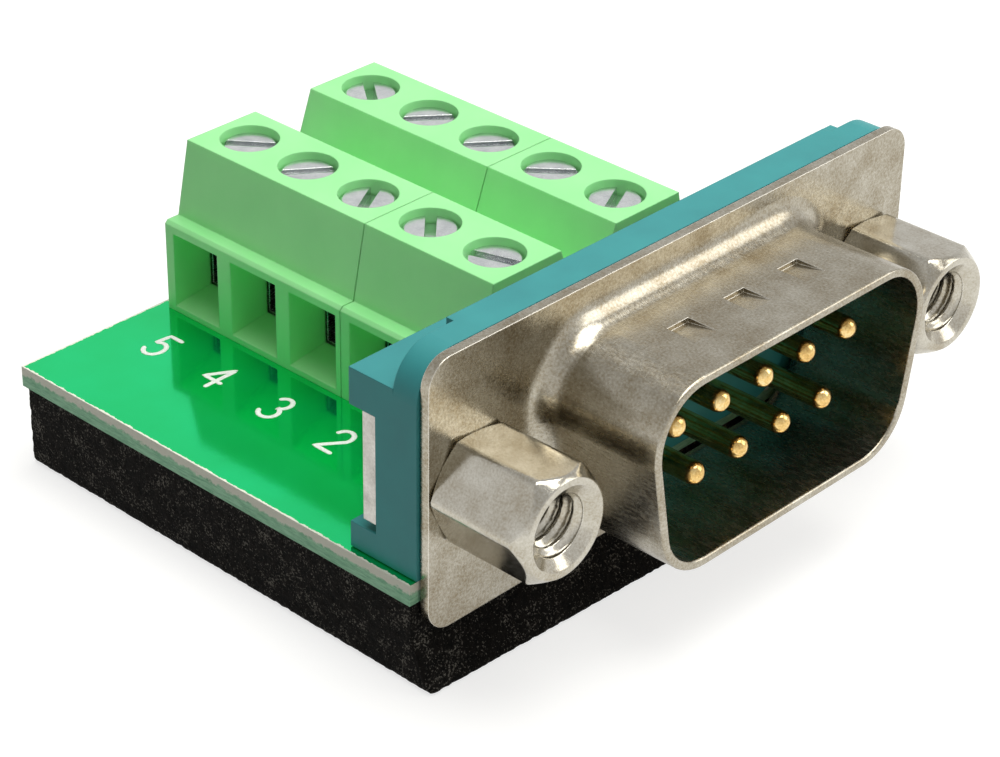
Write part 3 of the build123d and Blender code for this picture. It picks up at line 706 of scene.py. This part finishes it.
# Flat ribbon along a path: at each point the profile, a flattened ellipse, stands across the
# path's direction, and its width runs down to nothing over a half circle at each end
def inkRibbon(path, width, film, level):
    ends = np.linspace(0, 1, 5)[1:]
    lead = path[0] - (path[1] - path[0]) / np.linalg.norm(path[1] - path[0]) * width / 2
    tail = path[-1] + (path[-1] - path[-2]) / np.linalg.norm(path[-1] - path[-2]) * width / 2
    start = lead + (path[0] - lead) * (1 - np.sqrt(1 - ends[:, None] ** 2))
    finish = tail + (path[-1] - tail) * (1 - np.sqrt(1 - ends[::-1, None] ** 2))
    line = np.vstack([start, path[1:-1] if len(path) > 2 else np.zeros((0, 2)), finish])
    taper = np.r_[ends, np.ones(max(len(path) - 2, 0)), ends[::-1]]
    direction = np.gradient(line, axis=0)
    direction /= np.linalg.norm(direction, axis=1, keepdims=True)
    across = np.stack([-direction[:, 1], direction[:, 0]], -1)
    angle = np.linspace(0, 2 * np.pi, 8, endpoint=False)
    sideways = np.cos(angle)[None] * (width / 2 * taper)[:, None]
    up = np.sin(angle)[None] * (film * np.sqrt(taper))[:, None]
    points = np.stack([line[:, 0:1] + across[:, 0:1] * sideways,
                       line[:, 1:2] + across[:, 1:2] * sideways, level + up], -1)
    return gridMesh(points * mm, poles=(True, True))


def makeNumbers(look):
    strokes = figureStrokes()
    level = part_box("circuit_board")[1].z / mm
    ribbons = []
    for side, figures in ((-1, "12345"), (1, "6789")):
        for place, figure in enumerate(figures):
            wayY = look["firstWay"] + look["pitch"] * place + look["shift"]
            for stroke in strokes[figure]:
                # read from the left edge: the figure's top is towards +X, and it runs towards -Y
                x = side * look["middleX"] + (stroke[:, 1] - 0.5) * look["height"]
                y = wayY - (stroke[:, 0] - 0.5) * look["width"]
                path = denser(np.stack([x, y], -1), look["step"])
                ribbons.append(inkRibbon(path, look["stroke"], look["film"], level))
    numbers = makeObject("printed_numbers", ribbons, inkFinish(look))
    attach(numbers, "adapter")


makeNumbers(printedNumbers)
print("printed numbers done")


# Jack post: hexagon bar turned down at both ends, countersunk and tapped in front, stud behind.
# Each row is a ring at a distance along the post; its radius is the turned profile's, softly held
# under the hexagon's at that angle, and in the bore it swings between the thread's root and crest
# as depth and angle add up to each pitch
jackPosts = {
    "spacing": 24.99, "flats": 4.60, "length": 4.95, "turn": -4.7,   # mm, degrees
    "edgeTrim": 0.05,                        # taken off the hexagon's corners
    "softness": 0.018,                     # rounding where the turned ends cut the flats
    "footCut": 0.36, "footRise": 0.16, "frontRise": 0.60,
    "faceRadius": 2.17, "sinkRadius": 1.88, "sinkDepth": 0.38,
    "pitch": 0.635, "root": 1.40, "crest": 1.10, "boreDepth": 4.2,
    "runout": 0.3,                         # mm over which the thread starts and ends
    "studRadius": 1.40, "studReach": 3.9, "studBevel": 0.25,
    "tip": 0.3,                            # radius of the last ring at each end, before it closes
    "flatSteps": 20, "rowStep": 0.05, "studStep": 0.5,
}


def makeJackPost(look, side, name):
    low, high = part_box(f"jack_post_{name}")
    frontY = low.y / mm
    axisZ = (low.z + high.z) / 2 / mm
    length = look["length"]
    # samples crowd towards the hexagon's corners
    evenly = np.linspace(-1, 1, look["flatSteps"], endpoint=False)
    off = np.radians(30 * np.sin(evenly * np.pi / 2))
    angle = (np.radians(look["turn"] + 30 + 60 * np.arange(6))[:, None] + off).ravel()
    hexagon = np.tile(look["flats"] / 2 / np.cos(off), 6)
    corner = look["flats"] / 2 / math.cos(math.pi / 6)
    stud, studEnd = look["studRadius"], -look["studReach"]
    bevel = look["studBevel"]
    behind = [(studEnd, look["tip"]), (studEnd, stud - bevel), (studEnd + bevel, stud), (0, stud)]
    outside = [(0, stud + 0.05), (0, corner - look["footCut"]),
               (look["footRise"], corner - look["edgeTrim"]),
               (length - look["frontRise"], corner - look["edgeTrim"]),
               (length - 0.05, look["faceRadius"] + 0.03), (length - 0.012, look["faceRadius"]),
               (length, look["faceRadius"] - 0.04), (length, look["sinkRadius"] + 0.02),
               (length - 0.015, look["sinkRadius"] - 0.01),
               (length - look["sinkDepth"], look["root"] - 0.02)]
    profile = np.vstack([denser(np.array(behind), look["studStep"]),
                         denser(np.array(outside), look["rowStep"])])
    soft = look["softness"]
    radius = -soft * np.logaddexp(-hexagon[None] / soft, -profile[:, 1:] / soft)
    depth = np.arange(look["sinkDepth"] + 0.03, look["boreDepth"], look["rowStep"] * 0.8)
    phase = (depth[:, None] / look["pitch"] + angle[None] / (2 * np.pi)) % 1
    wave = np.clip(1.3 * np.abs(2 * phase - 1) - 0.15, 0, 1)
    toEnds = np.minimum(depth - look["sinkDepth"], look["boreDepth"] - depth)
    fade = np.clip(toEnds / look["runout"], 0, 1)[:, None]
    tapped = look["root"] - (look["root"] - look["crest"]) * wave * fade
    floor = np.full((1, len(angle)), look["tip"])
    along = np.concatenate([profile[:, 0], length - depth,
                            [length - look["boreDepth"] - look["tip"]]])
    ring = np.concatenate([radius, tapped, floor])
    points = np.stack([side * look["spacing"] / 2 + ring * np.cos(angle),
                       np.repeat(frontY + length - along[:, None], len(angle), 1),
                       axisZ + ring * np.sin(angle)], -1)
    post = makeObject(f"tapped_post_{name}", [gridMesh(points * mm, poles=(True, True))],
                      nickelPost)
    post.data.set_sharp_from_angle(angle=math.radians(40))
    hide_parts(f"jack_post_{name}")
    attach(post, "adapter")


makeJackPost(jackPosts, -1, "left")
makeJackPost(jackPosts, 1, "right")
print("jack posts done")


# Solder on the board's top round each contact tail: a fillet whose height falls as the square of
# the way out from the tail to the pad's rim
solderFillets = {
    "tail": 0.33, "pad": 0.78, "height": 0.38, "rim": 0.03, "sunk": 0.02,   # mm
    "rings": 7, "around": 24,
    "pitch": 2.77, "upperY": -5.13, "lowerY": -6.08,  # mm, where the tails stand
}


def makeSolder(look):
    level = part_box("circuit_board")[1].z / mm
    share = np.linspace(0, 1, look["rings"])
    radius = look["tail"] + (look["pad"] - look["tail"]) * share
    height = look["height"] * (1 - share) ** 2 + look["rim"]
    radius = np.r_[radius, look["pad"], look["tail"]]
    height = np.r_[height, -look["sunk"], -look["sunk"]]
    angle = np.linspace(0, 2 * np.pi, look["around"], endpoint=False)
    ring = np.stack([radius[:, None] * np.cos(angle)[None], radius[:, None] * np.sin(angle)[None],
                     level + height[:, None] + 0 * angle[None]], -1)
    places = [(look["pitch"] * (i - 2), look["upperY"]) for i in range(5)]
    places += [(look["pitch"] * (i - 1.5), look["lowerY"]) for i in range(4)]
    joints = [gridMesh((ring + np.array([x, y, 0])) * mm, closeV=True, flip=True)
              for x, y in places]
    solder = makeObject("pin_solder", joints, tinFinish)
    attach(solder, "adapter")


makeSolder(solderFillets)
print("solder done")

bpy.context.scene.view_settings.view_transform = "Standard"
